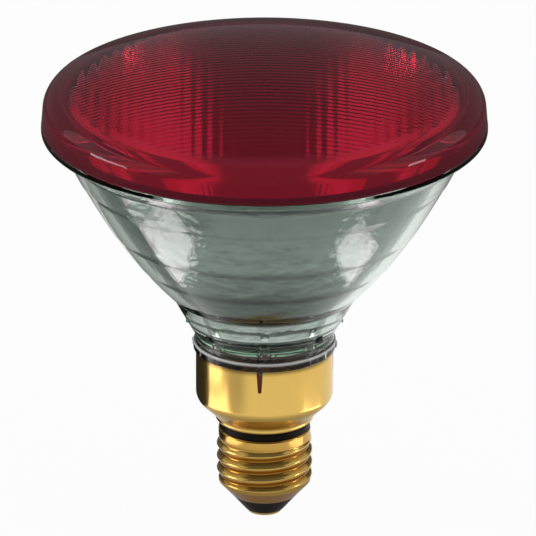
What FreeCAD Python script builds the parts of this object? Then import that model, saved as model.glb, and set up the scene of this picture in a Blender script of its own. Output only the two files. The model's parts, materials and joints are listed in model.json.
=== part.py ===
"""Infrared heat lamp bulb: a pressed glass reflector closed by a ruby lens, on a skirted brass screw cap.

Millimetres. The bulb's axis is Z, the lens is at the top, and the origin is the tip of the centre contact.
"""

import FreeCAD, Part
import math
import os

V = FreeCAD.Vector
AXIS = V(0, 0, 1)
FULL_TURN = 360.0

# Centre contact and its solder
solder_height = 1.1
solder_radius = 2.5
solder_flat_radius = 0.9
contact_radius = 4.75
contact_thickness = 0.8

# Screw shell, drawn from thin brass
thread_diameter = 26.2
thread_depth = 1.0
thread_pitch = 3.629
thread_turns = 3.7
thread_crest_height = 1.6
thread_run_out = 2.2
shell_wall = 0.35
shell_nose_taper = 3.4
shell_cone_height = 3.8
collar_height = 2.5
lip_width = 2.2

# Black glass insulators
nose_step = 0.5
nose_height = 4.7
nose_key_height = 2.6
nose_edge_round = 0.6
ring_height = 2.3
ring_inset = 0.15
ring_edge_round = 0.3
ring_hub_wall = 1.8
ring_hub_reach = 1.2

# Brass skirt
skirt_radius = 18.75
skirt_wall = 0.4
skirt_neck_step = 0.85
skirt_neck_height = 1.5
skirt_cone_height = 5.2
skirt_cylinder_height = 14.2
skirt_corner_radius = 4.0
skirt_bend_radius = 0.9
slit_count = 4
slit_mouth_width = 1.9
slit_end_width = 1.0
slit_depth = 6.3
slit_offset_angle = -4.0

# Glass neck, from the heel inside the skirt up to the bowl
heel_depth = 9.3
heel_wall = 3.4
heel_edge_round = 0.8
flange_height = 2.4
flange_overhang = 0.7
flange_low_round = 0.5
flange_top_round = 0.8
waist_height = 3.3
waist_inset = 0.4
shoulder_step = 1.1
neck_height = 10.7
neck_flare = 5.3
neck_wall = 3.7
floor_thickness = 3.8
well_round = 2.0
heel_root_round = 1.0
lug_count = 8
lug_radius = 1.3
lug_reach = 1.3
lug_height = 1.2
lug_edge_round = 0.4
rib_width = 0.9
rib_reach = 0.35
rib_height = 1.7
rib_lift = 0.3

# Glass bowl and its rim
bowl_height = 43.0
bowl_radius = 54.5
band_heights = (10.7, 20.4, 35.0)
band_step = 0.45
rim_overhang = 5.9
rim_flare_height = 4.1
rim_band_height = 1.3
rim_edge_round = 0.65
mouth_inset = 1.2

# Ruby lens
lens_edge_height = 10.5
lens_edge_draft = 0.7
lens_edge_round = 5.2
lens_seam_round = 0.5
lens_rise = 10.0
lens_wall = 3.6
lens_lip_width = 5.9
lens_inner_round = 2.0

# Metal ferrules in the glass floor, and the lead posts on them
ferrule_heel_gap = 1.4
ferrule_tube_gap = 1.1
ferrule_wall = 0.45
ferrule_height = 7.0
boss_height = 3.0
post_radius = 0.8
post_hole_radius = 1.4
post_spread = 3.0
post_bend_gap = 0.7
post_top_run = 1.26
post_bend_radius = 1.6
clamp_length = 2.2
clamp_width = 2.0
clamp_height = 2.4
bridge_radius = 1.6
bridge_height = 3.6
bridge_overhang = 3.2
bridge_edge_round = 1.0

# Tungsten coil, lifted from the bridge to the focus of the mirror
coil_lift = 8.56
coil_radius = 1.0
coil_wire_radius = 0.17
coil_end_gap = 1.4
coil_turns = 15
coil_knuckle_growth = 0.07

# Coil support wire
support_radius = 0.3
support_loop_gap = 0.08
support_bend_radius = 1.2
support_lean_start = 5.0
support_lean_end = 2.8

# Sealed exhaust tube
exhaust_radius = 2.6
exhaust_wall = 1.1
exhaust_length = 11.0
exhaust_tip_share = 0.9

# Wires inside the cap
wire_radius = 0.35
wire_bend_radius = 1.6
wire_start_run = 3.0
sleeve_radius = 0.95
sleeve_top_gap = 0.2
sleeve_gap = 1.0
side_solder_radius = 0.7
side_solder_height = 1.1
side_solder_round = 0.55
side_wire_drop = 3.4
side_wire_bend_radius = 0.8

# Running clearances
fit = 0.05
heel_clearance = 0.25

# How far a cutting tool runs past what it cuts
past = 1.0

# Radii that follow from the driving sizes
thread_mean_radius = (thread_diameter - thread_depth) / 2
shell_inner_radius = thread_mean_radius - shell_wall
lip_radius = thread_mean_radius - shell_nose_taper
lip_opening_radius = thread_mean_radius - lip_width
ring_radius = thread_mean_radius - ring_inset
hub_radius = lip_opening_radius - fit
ring_bore_radius = hub_radius - ring_hub_wall
skirt_neck_radius = thread_mean_radius + skirt_neck_step
skirt_inner_radius = skirt_radius - skirt_wall
heel_radius = skirt_inner_radius - heel_clearance
heel_inner_radius = heel_radius - heel_wall
flange_radius = skirt_radius + flange_overhang
waist_radius = flange_radius - waist_inset
shoulder_radius = waist_radius + shoulder_step
neck_top_radius = shoulder_radius + neck_flare
well_floor_radius = shoulder_radius - neck_wall
well_top_radius = neck_top_radius - neck_wall
rim_radius = bowl_radius + rim_overhang
mouth_radius = bowl_radius - mouth_inset
ferrule_radius = (heel_inner_radius - ferrule_heel_gap - exhaust_radius - ferrule_tube_gap) / 2

# Heights that follow, from the contact tip up
contact_z = solder_height
nose_z = contact_z + contact_thickness
lip_z = nose_z + nose_height
thread_z = lip_z + shell_cone_height
collar_z = thread_z + thread_turns * thread_pitch
ring_z = collar_z + collar_height
skirt_z = ring_z + ring_height
skirt_cone_z = skirt_z + skirt_neck_height
skirt_cylinder_z = skirt_cone_z + skirt_cone_height
flange_z = skirt_cylinder_z + skirt_cylinder_height
heel_z = flange_z - heel_depth
waist_z = flange_z + flange_height
shoulder_z = waist_z + waist_height
floor_z = shoulder_z + shoulder_step
floor_under_z = floor_z - floor_thickness
bowl_z = shoulder_z + neck_height
rim_flare_z = bowl_z + bowl_height
rim_band_z = rim_flare_z + rim_flare_height
seam_z = rim_band_z + rim_band_height
lens_shoulder_z = seam_z + lens_edge_height
lens_top_z = lens_shoulder_z + lens_rise
ferrule_z = floor_under_z - ferrule_height

# The posts, the bridge and the coil between them
post_x = exhaust_radius + ferrule_tube_gap + ferrule_radius
post_top_x = post_x + post_spread
bridge_z = floor_z + bridge_height
coil_z = bridge_z + coil_lift
coil_leg_z = coil_z - coil_radius
coil_half_length = post_top_x - clamp_length / 2 - coil_end_gap
coil_pitch = 2 * coil_half_length / coil_turns

# The side wire is soldered half way across the flat of the shell's turned-in lip
shell_lip_z = ring_z - shell_wall
side_solder_x = (hub_radius + shell_inner_radius - shell_wall) / 2


def point(r, z):
    """A point of a half section, in the XZ plane."""
    return V(r, 0, z)


def line(a, b):
    """A straight edge between two (r, z) pairs."""
    return Part.LineSegment(point(*a), point(*b)).toShape()


def parabola(a, b):
    """The part between two (r, z) pairs of a parabola about the axis, exact as a quadratic Bezier curve."""
    (r1, z1), (r2, z2) = a, b
    bend = (z2 - z1) / (r2**2 - r1**2)
    control = ((r1 + r2) / 2, z1 - bend * r1**2 + bend * r1 * r2)
    curve = Part.BezierCurve()
    curve.setPoles([point(*a), point(*control), point(*b)])
    return curve.toShape()


def rounded_path(corners):
    """Straight edges through (point, radius) corners in space, with a tangent arc at each inner corner."""
    edges = []
    start = corners[0][0]
    for before, (corner, radius), after in zip(corners, corners[1:], corners[2:]):
        if radius <= 0:
            edges.append(Part.LineSegment(start, corner).toShape())
            start = corner
            continue
        towards = (before[0] - corner).normalize()
        away = (after[0] - corner).normalize()
        turn = towards.getAngle(away)
        reach = radius / math.tan(turn / 2)
        middle = (towards + away).normalize()
        first = corner + towards * reach
        last = corner + away * reach
        inside = corner + middle * (radius / math.sin(turn / 2) - radius)
        edges.append(Part.LineSegment(start, first).toShape())
        edges.append(Part.Arc(first, inside, last).toShape())
        start = last
    edges.append(Part.LineSegment(start, corners[-1][0]).toShape())
    return edges


def rounded_chain(corners):
    """The same in the XZ plane, through (r, z, radius) corners."""
    return rounded_path([(point(r, z), radius) for r, z, radius in corners])


def one_solid(shape):
    """The single solid in a shape, turned the right way out."""
    solid = shape.Solids[0]
    if solid.Volume < 0:
        solid.reverse()
    return solid


def turned(edges):
    """A solid turned about the axis from a closed chain of section edges."""
    face = Part.Face(Part.Wire(Part.__sortEdges__(edges)))
    return one_solid(face.revolve(V(0, 0, 0), AXIS, FULL_TURN))


def turned_outline(corners):
    """A solid turned about the axis from (r, z, radius) corners, closed back to the first one."""
    first, last = corners[0], corners[-1]
    return turned(rounded_chain(corners) + [line(last[:2], first[:2])])


def round_rod(edges, radius):
    """A round bar of one radius along a smooth chain of edges."""
    start = edges[0].valueAt(edges[0].FirstParameter)
    direction = edges[0].tangentAt(edges[0].FirstParameter)
    section = Part.Wire(Part.makeCircle(radius, start, direction))
    return one_solid(Part.Wire(edges).makePipeShell([section], True, True))


def upright_cylinder(radius, x, low, high):
    """A cylinder parallel to the axis, at a distance x along the X axis."""
    return Part.makeCylinder(radius, high - low, V(x, 0, low))


def around(shape, count, first_angle):
    """Copies of a shape, evenly spaced about the axis."""
    copies = []
    for k in range(count):
        copy = shape.copy()
        copy.rotate(V(0, 0, 0), AXIS, first_angle + k * FULL_TURN / count)
        copies.append(copy)
    return copies


def wound_plug(mean_radius):
    """A solid plug with the round wave of an Edison thread, right-handed.

    It is lofted through level circles. Their centres wind round the axis once for each pitch, half the
    thread's depth away from it, and swing back to the axis at both ends, where the thread runs out.
    """
    sections_per_turn = 8
    steps = round(thread_turns * sections_per_turn)
    length = thread_turns * thread_pitch
    sections = []
    for k in range(steps + 1):
        height = length * k / steps
        share = min(1.0, height / thread_run_out, (length - height) / thread_run_out)
        swing = thread_depth / 2 * share**2 * (3 - 2 * share)
        angle = 2 * math.pi * (height - thread_crest_height) / thread_pitch
        centre = V(swing * math.cos(angle), swing * math.sin(angle), thread_z + height)
        sections.append(Part.Wire(Part.makeCircle(mean_radius, centre, AXIS)))
    return one_solid(Part.makeLoft(sections, True, False))


def make_centre_solder():
    """Solder drop on the contact: a small flat for the lampholder's contact, and a round side."""
    run = solder_radius - solder_flat_radius
    bend = (run**2 + solder_height**2) / (2 * solder_height)
    middle = (math.atan2(solder_height - bend, run) - math.pi / 2) / 2
    side = Part.Arc(
        point(solder_flat_radius, 0),
        point(solder_flat_radius + bend * math.cos(middle), bend + bend * math.sin(middle)),
        point(solder_radius, contact_z),
    )
    drop = turned(
        [
            line((0, 0), (solder_flat_radius, 0)),
            side.toShape(),
            line((solder_radius, contact_z), (0, contact_z)),
            line((0, contact_z), (0, 0)),
        ]
    )
    return one_solid(drop.cut(upright_cylinder(wire_radius + fit, 0, contact_z / 2, contact_z + past)))


def make_contact_plate():
    """Brass contact disc with the eye that the wire comes through."""
    eye = wire_radius + fit
    return turned_outline(
        [
            (eye, contact_z, 0),
            (contact_radius, contact_z, contact_thickness / 2),
            (contact_radius, nose_z, 0),
            (eye, nose_z, 0),
        ]
    )


def make_base_insulator():
    """Black glass nose between the contact and the shell, keyed into the shell's lower edge."""
    eye = wire_radius + 2 * fit
    key_radius = lip_radius - shell_wall - fit
    return turned_outline(
        [
            (eye, nose_z, 0),
            (contact_radius + nose_step, nose_z, nose_edge_round),
            (lip_radius, lip_z, 0),
            (key_radius, lip_z, 0),
            (key_radius, lip_z + nose_key_height, nose_edge_round),
            (eye, lip_z + nose_key_height, 0),
        ]
    )


def make_screw_shell():
    """Thin brass shell: a cone on the black glass, the rolled thread, and a collar with a turned-in lip."""
    rolled = wound_plug(thread_mean_radius).cut(wound_plug(shell_inner_radius))
    cone = turned_outline(
        [
            (lip_radius, lip_z, 0),
            (thread_mean_radius, thread_z, 0),
            (shell_inner_radius, thread_z, 0),
            (lip_radius - shell_wall, lip_z, 0),
        ]
    )
    collar = turned_outline(
        [
            (shell_inner_radius, collar_z, 0),
            (thread_mean_radius, collar_z, 0),
            (thread_mean_radius, ring_z, 2 * shell_wall),
            (lip_opening_radius, ring_z, 0),
            (lip_opening_radius, shell_lip_z, 0),
            (shell_inner_radius, shell_lip_z, shell_wall),
        ]
    )
    return one_solid(rolled.fuse([cone, collar]).removeSplitter())


def make_skirt_insulator():
    """Black ring that keeps the skirt apart from the shell: a flange between their lips, on a hub."""
    return turned_outline(
        [
            (ring_bore_radius, ring_z - ring_hub_reach, 0),
            (hub_radius, ring_z - ring_hub_reach, 0),
            (hub_radius, ring_z, 0),
            (ring_radius, ring_z, ring_edge_round),
            (ring_radius, skirt_z, ring_edge_round),
            (hub_radius, skirt_z, 0),
            (hub_radius, skirt_z + ring_hub_reach, 0),
            (ring_bore_radius, skirt_z + ring_hub_reach, 0),
        ]
    )


def slit_tool():
    """The shape cut from the skirt for one slit: open at the top, narrower and round at its end."""
    inner = skirt_inner_radius - past
    mouth = slit_mouth_width / 2
    end = slit_end_width / 2
    low = flange_z - slit_depth + end
    top = flange_z + past
    corners = [V(inner, -end, low), V(inner, -mouth, top), V(inner, mouth, top), V(inner, end, low)]
    sides = [Part.LineSegment(a, b).toShape() for a, b in zip(corners, corners[1:])]
    bottom = Part.Arc(corners[-1], V(inner, 0, low - end), corners[0]).toShape()
    return Part.Face(Part.Wire(sides + [bottom])).extrude(V(skirt_wall + 2 * past, 0, 0))


def make_skirt():
    """Thin brass skirt of even wall: a lip on the black ring, a short neck, a cone and a slit cylinder."""
    cone_angle = math.atan2(skirt_radius - skirt_neck_radius, skirt_cone_height)
    rise = skirt_wall * math.tan(cone_angle / 2)
    neck_inner_radius = skirt_neck_radius - skirt_wall
    body = turned_outline(
        [
            (lip_opening_radius, skirt_z, 0),
            (skirt_neck_radius, skirt_z, 2 * skirt_wall),
            (skirt_neck_radius, skirt_cone_z, skirt_bend_radius),
            (skirt_radius, skirt_cylinder_z, skirt_corner_radius),
            (skirt_radius, flange_z, 0),
            (skirt_inner_radius, flange_z, 0),
            (skirt_inner_radius, skirt_cylinder_z + rise, skirt_corner_radius - skirt_wall),
            (neck_inner_radius, skirt_cone_z + rise, skirt_bend_radius + skirt_wall),
            (neck_inner_radius, skirt_z + skirt_wall, skirt_wall),
            (lip_opening_radius, skirt_z + skirt_wall, 0),
        ]
    )
    return one_solid(body.cut(around(slit_tool(), slit_count, slit_offset_angle - FULL_TURN / 4)))


def outer_bands():
    """The bowl's outside: bands of one paraboloid, each standing out from the band below by a small ledge."""
    ledge = band_step / 2
    bend = (bowl_radius**2 - neck_top_radius**2) / bowl_height
    edges = []
    start = (neck_top_radius, bowl_z)
    for height in band_heights:
        radius = math.sqrt(neck_top_radius**2 + bend * height)
        below = (radius - ledge, bowl_z + height - ledge)
        above = (radius + ledge, bowl_z + height + ledge)
        edges += [parabola(start, below), line(below, above)]
        start = above
    edges.append(parabola(start, (bowl_radius, rim_flare_z)))
    return edges


def neck_details():
    """The lugs on the neck, the ribs on the flange and the bosses under the floor."""
    quarter = FULL_TURN / 4
    lug_length = shoulder_radius + lug_reach - waist_radius + past
    lug_foot = V(waist_radius - past, 0, floor_z + lug_height)
    lug = Part.makeCylinder(lug_radius, lug_length, lug_foot, V(1, 0, 0))
    lug = lug.makeFillet(lug_edge_round, [lug.Edges[0]])
    rib_foot = V(flange_radius - flange_overhang, -rib_width / 2, flange_z + rib_lift)
    rib = Part.makeBox(flange_overhang + rib_reach, rib_width, rib_height, rib_foot)
    boss_radius = ferrule_radius - ferrule_wall - fit
    bosses = [
        upright_cylinder(boss_radius, side * post_x, floor_under_z - boss_height, floor_under_z + past)
        for side in (-1, 1)
    ]
    lugs = around(lug, lug_count, -quarter)
    ribs = around(rib, slit_count, slit_offset_angle - quarter)
    return lugs + ribs + bosses


def floor_holes():
    """The holes through the glass floor, for both posts and for the exhaust tube."""
    low = floor_under_z - boss_height - past
    high = floor_z + past
    holes = [upright_cylinder(post_hole_radius, side * post_x, low, high) for side in (-1, 1)]
    holes.append(upright_cylinder(exhaust_radius - exhaust_wall, 0, low, high))
    return holes


def make_reflector_bowl():
    """Pressed glass in one piece: heel, flange, neck, stepped bowl and rim, round a mirror and a well."""
    neck = rounded_chain(
        [
            (heel_inner_radius, heel_z, 0),
            (heel_radius, heel_z, heel_edge_round),
            (heel_radius, flange_z, 0),
            (flange_radius, flange_z, flange_low_round),
            (flange_radius, waist_z, flange_top_round),
            (waist_radius, waist_z + waist_inset, waist_inset),
            (waist_radius, shoulder_z, waist_inset),
            (shoulder_radius, floor_z, waist_inset),
            (neck_top_radius, bowl_z, 0),
        ]
    )
    rim = rounded_chain(
        [
            (bowl_radius, rim_flare_z, 0),
            (rim_radius, rim_band_z, rim_edge_round),
            (rim_radius, seam_z, 0),
            (mouth_radius, seam_z, 0),
        ]
    )
    mirror = parabola((mouth_radius, seam_z), (well_top_radius, bowl_z))
    well = rounded_chain(
        [
            (well_top_radius, bowl_z, 0),
            (well_floor_radius, floor_z, well_round),
            (0, floor_z, 0),
            (0, floor_under_z, 0),
            (heel_inner_radius, floor_under_z, heel_root_round),
            (heel_inner_radius, heel_z, 0),
        ]
    )
    glass = turned(neck + outer_bands() + rim + [mirror] + well)
    return one_solid(glass.fuse(neck_details()).cut(floor_holes()))


def make_lens():
    """Ruby glass lens: a rim that stands on the bowl's rim, and a dome of even wall."""
    top_radius = rim_radius - lens_edge_draft
    shoulder = top_radius - lens_edge_round
    dome_radius = (shoulder**2 + lens_rise**2) / (2 * lens_rise)
    inner_dome_radius = dome_radius - lens_wall
    centre_z = lens_top_z - dome_radius
    inner_lip = rim_radius - lens_lip_width
    inner_shoulder = inner_lip - lens_inner_round

    def height(radius, r):
        return centre_z + math.sqrt(radius**2 - r**2)

    def slope(radius, r):
        return r / math.sqrt(radius**2 - r**2)

    outer_dome = Part.Arc(
        point(shoulder, lens_shoulder_z),
        point(shoulder / 2, height(dome_radius, shoulder / 2)),
        point(0, lens_top_z),
    )
    inner_shoulder_z = height(inner_dome_radius, inner_shoulder)
    inner_dome = Part.Arc(
        point(0, lens_top_z - lens_wall),
        point(inner_shoulder / 2, height(inner_dome_radius, inner_shoulder / 2)),
        point(inner_shoulder, inner_shoulder_z),
    )
    outer_drop = lens_edge_round * slope(dome_radius, shoulder)
    inner_drop = lens_inner_round * slope(inner_dome_radius, inner_shoulder)
    edge = rounded_chain(
        [
            (inner_lip, seam_z, 0),
            (rim_radius, seam_z, lens_seam_round),
            (top_radius, lens_shoulder_z - outer_drop, lens_edge_round),
            (shoulder, lens_shoulder_z, 0),
        ]
    )
    inside = rounded_chain(
        [
            (inner_shoulder, inner_shoulder_z, 0),
            (inner_lip, inner_shoulder_z - inner_drop, lens_inner_round),
            (inner_lip, seam_z, 0),
        ]
    )
    on_axis = line((0, lens_top_z), (0, lens_top_z - lens_wall))
    return turned(edge + [outer_dome.toShape(), on_axis, inner_dome.toShape()] + inside)


def make_ferrule(side):
    """Metal cup sealed over a glass boss, closed at its lower end."""
    inner = ferrule_radius - ferrule_wall
    cup = turned_outline(
        [
            (0, ferrule_z, 0),
            (ferrule_radius, ferrule_z, 2 * ferrule_wall),
            (ferrule_radius, floor_under_z, 0),
            (inner, floor_under_z, 0),
            (inner, ferrule_z + ferrule_wall, ferrule_wall),
            (0, ferrule_z + ferrule_wall, 0),
        ]
    )
    return cup.translated(V(side * post_x, 0, 0))


def make_lead_post(side):
    """Nickel post that stands in a ferrule, spreads above the bridge and grips a leg of the coil."""
    bend_z = bridge_z + bridge_radius + post_bend_gap
    foot_x = side * post_x
    top_x = side * post_top_x
    path = rounded_path(
        [
            (V(foot_x, 0, ferrule_z + ferrule_wall), 0),
            (V(foot_x, 0, bend_z), post_bend_radius),
            (V(top_x, 0, coil_leg_z - post_top_run), post_bend_radius),
            (V(top_x, 0, coil_leg_z), 0),
        ]
    )
    clamp_x = top_x - clamp_length / 2
    clamp_corner = V(clamp_x, -clamp_width / 2, coil_leg_z - clamp_height / 2)
    clamp = Part.makeBox(clamp_length, clamp_width, clamp_height, clamp_corner)
    grip = Part.makeCylinder(
        coil_wire_radius + fit / 2,
        clamp_length + 2 * past,
        V(clamp_x - past, 0, coil_leg_z),
        V(1, 0, 0),
    )
    return one_solid(round_rod(path, post_radius).fuse(clamp).cut(grip))


def make_post_bridge():
    """Glass bead fused across both posts, which keeps them apart and holds the coil support."""
    half = post_x + bridge_overhang
    bead = Part.makeCylinder(bridge_radius, 2 * half, V(-half, 0, bridge_z), V(1, 0, 0))
    bead = bead.makeFillet(bridge_edge_round, [bead.Edges[0], bead.Edges[2]])
    low = bridge_z - bridge_radius - past
    high = bridge_z + bridge_radius + past
    holes = [upright_cylinder(post_radius + fit, side * post_x, low, high) for side in (-1, 1)]
    holes.append(upright_cylinder(support_radius + fit, 0, bridge_z, high))
    return one_solid(bead.cut(holes))


def make_coil_support():
    """Thin wire from the bridge that ends in an open loop round the coil's middle."""
    loop = coil_radius + coil_wire_radius + support_loop_gap + support_radius
    straight = rounded_path(
        [
            (V(0, 0, bridge_z + fit), 0),
            (V(0, 0, coil_z - support_lean_start), support_bend_radius),
            (V(0, -loop, coil_z - support_lean_end), support_bend_radius),
            (V(0, -loop, coil_z), 0),
        ]
    )
    ring = Part.Arc(V(0, -loop, coil_z), V(0, 0, coil_z + loop), V(0, loop, coil_z)).toShape()
    return round_rod(straight + [ring], support_radius)


def make_filament():
    """Tungsten coil across the mirror's focus, with a knuckle and a straight leg at each end."""
    turns = Part.makeHelix(coil_pitch, 2 * coil_half_length, coil_radius)
    turns.rotate(V(0, 0, 0), V(0, 1, 0), FULL_TURN / 4)
    turns.translate(V(-coil_half_length, 0, coil_z))
    first = turns.Edges[0]
    start = first.valueAt(first.FirstParameter)
    direction = first.tangentAt(first.FirstParameter)
    section = Part.Wire(Part.makeCircle(coil_wire_radius, start, direction))
    coil = one_solid(turns.makePipeShell([section], True, True))
    leg_length = post_top_x + clamp_length / 2 - coil_half_length
    legs = []
    for side in (-1, 1):
        foot = V(side * coil_half_length, 0, coil_leg_z)
        legs.append(Part.makeSphere(coil_wire_radius + coil_knuckle_growth, foot))
        legs.append(Part.makeCylinder(coil_wire_radius, leg_length, foot, V(side, 0, 0)))
    return one_solid(coil.fuse(legs))


def make_exhaust_tube():
    """Glass tube under the floor, drawn off to a round tip."""
    inner = exhaust_radius - exhaust_wall
    tip = floor_under_z - exhaust_length
    return turned_outline(
        [
            (0, tip, 0),
            (exhaust_radius, tip, exhaust_radius * exhaust_tip_share),
            (exhaust_radius, floor_under_z, 0),
            (inner, floor_under_z, 0),
            (inner, tip + exhaust_wall, inner * exhaust_tip_share),
            (0, tip + exhaust_wall, 0),
        ]
    )


def make_centre_wire():
    """Wire from the left ferrule down the axis, through the black glass and the contact, into the solder."""
    turn_z = ferrule_z - wire_start_run
    path = rounded_path(
        [
            (V(-post_x, 0, ferrule_z), 0),
            (V(-post_x, 0, turn_z), wire_bend_radius),
            (V(0, 0, turn_z - post_x), wire_bend_radius),
            (V(0, 0, contact_z / 2), 0),
        ]
    )
    return round_rod(path, wire_radius)


def make_side_solder():
    """Solder drop under the shell's turned-in lip."""
    low = shell_lip_z - side_solder_height
    drop = turned_outline(
        [
            (0, low, 0),
            (side_solder_radius, low, side_solder_round),
            (side_solder_radius, shell_lip_z, 0),
            (0, shell_lip_z, 0),
        ]
    )
    eye = upright_cylinder(wire_radius + fit, 0, low - past, low + side_solder_height / 2)
    return one_solid(drop.cut(eye)).translated(V(side_solder_x, 0, 0))


def make_side_wire():
    """Wire from the right ferrule through the black ring, turned up into the solder under the shell's lip."""
    inner_x = ring_bore_radius - 2 * wire_radius
    low = shell_lip_z - side_wire_drop
    end = shell_lip_z - side_solder_height / 2 - fit
    path = rounded_path(
        [
            (V(post_x, 0, ferrule_z), 0),
            (V(post_x, 0, ferrule_z - wire_start_run), side_wire_bend_radius),
            (V(inner_x, 0, ferrule_z - 2 * wire_start_run), side_wire_bend_radius),
            (V(inner_x, 0, low), side_wire_bend_radius),
            (V(side_solder_x, 0, low), side_wire_bend_radius),
            (V(side_solder_x, 0, end), 0),
        ]
    )
    return round_rod(path, wire_radius)


def make_wire_sleeve():
    """Glass fibre sleeve on the straight run of the centre wire."""
    low = lip_z + nose_key_height + sleeve_gap
    high = ferrule_z - wire_start_run - post_x - wire_bend_radius - sleeve_top_gap
    inner = wire_radius + fit
    return turned_outline(
        [
            (inner, low, 0),
            (sleeve_radius, low, 0),
            (sleeve_radius, high, 0),
            (inner, high, 0),
        ]
    )


def make_all():
    """Every piece of the bulb, by the name of its node."""
    return {
        "centre_solder": make_centre_solder(),
        "contact_plate": make_contact_plate(),
        "base_insulator": make_base_insulator(),
        "screw_shell": make_screw_shell(),
        "skirt_insulator": make_skirt_insulator(),
        "skirt": make_skirt(),
        "reflector_bowl": make_reflector_bowl(),
        "lens": make_lens(),
        "ferrule_left": make_ferrule(-1),
        "ferrule_right": make_ferrule(1),
        "lead_post_left": make_lead_post(-1),
        "lead_post_right": make_lead_post(1),
        "post_bridge": make_post_bridge(),
        "coil_support": make_coil_support(),
        "filament": make_filament(),
        "exhaust_tube": make_exhaust_tube(),
        "centre_wire": make_centre_wire(),
        "side_wire": make_side_wire(),
        "side_solder": make_side_solder(),
        "wire_sleeve": make_wire_sleeve(),
    }


def main():
    os.makedirs("parts", exist_ok=True)
    for name, shape in make_all().items():
        shape.exportStep("parts/" + name + ".step")
        print(name, len(shape.Solids), shape.isValid(), round(shape.Volume, 2), flush=True)


main()
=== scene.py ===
"""Finishes for an infrared heat lamp bulb: ruby lens, mirrored glass bowl, brass screw cap and a white stage.

Metres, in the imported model's own frame: the bulb's axis is Z, and the origin is the tip of its contact.
"""

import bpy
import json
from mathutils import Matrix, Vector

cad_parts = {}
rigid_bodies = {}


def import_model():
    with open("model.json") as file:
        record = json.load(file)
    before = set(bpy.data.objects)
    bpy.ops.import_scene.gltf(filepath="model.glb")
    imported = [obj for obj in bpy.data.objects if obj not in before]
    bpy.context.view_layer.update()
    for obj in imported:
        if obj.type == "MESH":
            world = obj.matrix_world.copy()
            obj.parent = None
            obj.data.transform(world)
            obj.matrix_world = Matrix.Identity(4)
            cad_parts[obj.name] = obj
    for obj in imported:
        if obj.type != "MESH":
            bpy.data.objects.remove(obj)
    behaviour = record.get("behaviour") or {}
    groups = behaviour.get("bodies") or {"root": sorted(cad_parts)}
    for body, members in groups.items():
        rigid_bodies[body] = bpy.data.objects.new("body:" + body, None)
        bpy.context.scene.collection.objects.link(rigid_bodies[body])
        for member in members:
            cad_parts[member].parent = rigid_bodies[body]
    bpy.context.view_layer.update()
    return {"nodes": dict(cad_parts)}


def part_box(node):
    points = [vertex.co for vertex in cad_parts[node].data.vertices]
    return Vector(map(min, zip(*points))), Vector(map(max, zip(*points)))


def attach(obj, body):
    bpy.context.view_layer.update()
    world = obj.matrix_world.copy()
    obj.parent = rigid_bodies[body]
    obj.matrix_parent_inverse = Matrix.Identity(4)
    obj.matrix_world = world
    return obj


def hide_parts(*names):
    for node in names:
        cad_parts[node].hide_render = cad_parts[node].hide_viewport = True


bl_info = {
    "name": "Heat lamp bulb",
    "version": (1, 0, 0),
    "blender": (4, 5, 0),
    "location": "View3D > Sidebar > Heat lamp",
    "description": "Gives a heat lamp bulb its glass, mirror and brass, and stages it for a picture",
    "category": "Object",
}

import json
import math

import bpy
import numpy as np
from bpy.props import FloatProperty, FloatVectorProperty, IntProperty, PointerProperty
from bpy.types import Operator, Panel, PropertyGroup
from mathutils import Matrix, Vector

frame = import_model()

MM = 0.001
FULL_TURN = 2 * math.pi

# Points nearer to each other than this, in metres, count as one point
SAME_PLACE = 1e-7

# Where the lens stands on the bowl: the width of its lip and the round of its outer edge
LIP_WIDTH = 5.9 * MM
SEAM_ROUND = 0.5 * MM

# The neck's lugs: their number, radius and the width of their sloping edge
LUGS = 8
LUG_RADIUS = 1.3 * MM
LUG_EDGE = 0.45 * MM

# The ribs on the neck's flange, beside the skirt's slits: their number and the angle of the first one
RIBS = 4
RIB_ANGLE = math.radians(-94)


class GlassSizes(PropertyGroup):
    """Sizes of the lens and the reflector bowl."""

    lens_wall: FloatProperty(
        name="Lens wall", description="Thickness of the ruby glass", default=3.6 * MM, subtype="DISTANCE"
    )
    lens_edge_height: FloatProperty(
        name="Lens edge", description="Height of the lens rim below its dome", default=10.5 * MM,
        subtype="DISTANCE",
    )
    stipple_pitch: FloatProperty(
        name="Stipple pitch", description="Distance between two studs of the stipple", default=3.0 * MM,
        subtype="DISTANCE",
    )
    stipple_depth: FloatProperty(
        name="Stipple depth", description="Height of a stud of the stipple", default=0.34 * MM,
        subtype="DISTANCE",
    )
    film_gap: FloatProperty(
        name="Film gap", description="Distance of the mirror film from the glass", default=0.02 * MM,
        subtype="DISTANCE",
    )


class Colours(PropertyGroup):
    """Colours of the bulb's finishes, in linear light."""

    ruby: FloatVectorProperty(
        name="Ruby", description="What one pass through the lens lets through", default=(0.88, 0.17, 0.3),
        subtype="COLOR", min=0.0, max=1.0,
    )
    ruby_density: FloatProperty(
        name="Ruby density", description="How strongly thick ruby glass absorbs light", default=60.0, min=0.0
    )
    clear: FloatVectorProperty(
        name="Clear glass", description="Tint of the clear glass", default=(0.825, 0.89, 0.845),
        subtype="COLOR", min=0.0, max=1.0,
    )
    clear_density: FloatProperty(
        name="Clear density", description="How strongly the clear glass absorbs light", default=200.0, min=0.0
    )
    brass: FloatVectorProperty(
        name="Brass", description="Colour of the brass cap", default=(0.8, 0.53, 0.13),
        subtype="COLOR", min=0.0, max=1.0,
    )
    # Painted shade: the colour the brass takes towards the bottom of the thread's grooves
    painted_groove_shade: FloatVectorProperty(
        name="Painted groove shade", description="Colour of the brass in the grooves of the thread",
        default=(0.4, 0.19, 0.03), subtype="COLOR", min=0.0, max=1.0,
    )
    # A darker copy of the bright film: painted shade of what the mirror shows through the bowl
    film_back_painted_shade: FloatVectorProperty(
        name="Film back", description="Colour of the mirror film as seen through the bowl",
        default=(0.275, 0.335, 0.295), subtype="COLOR", min=0.0, max=1.0,
    )


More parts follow.
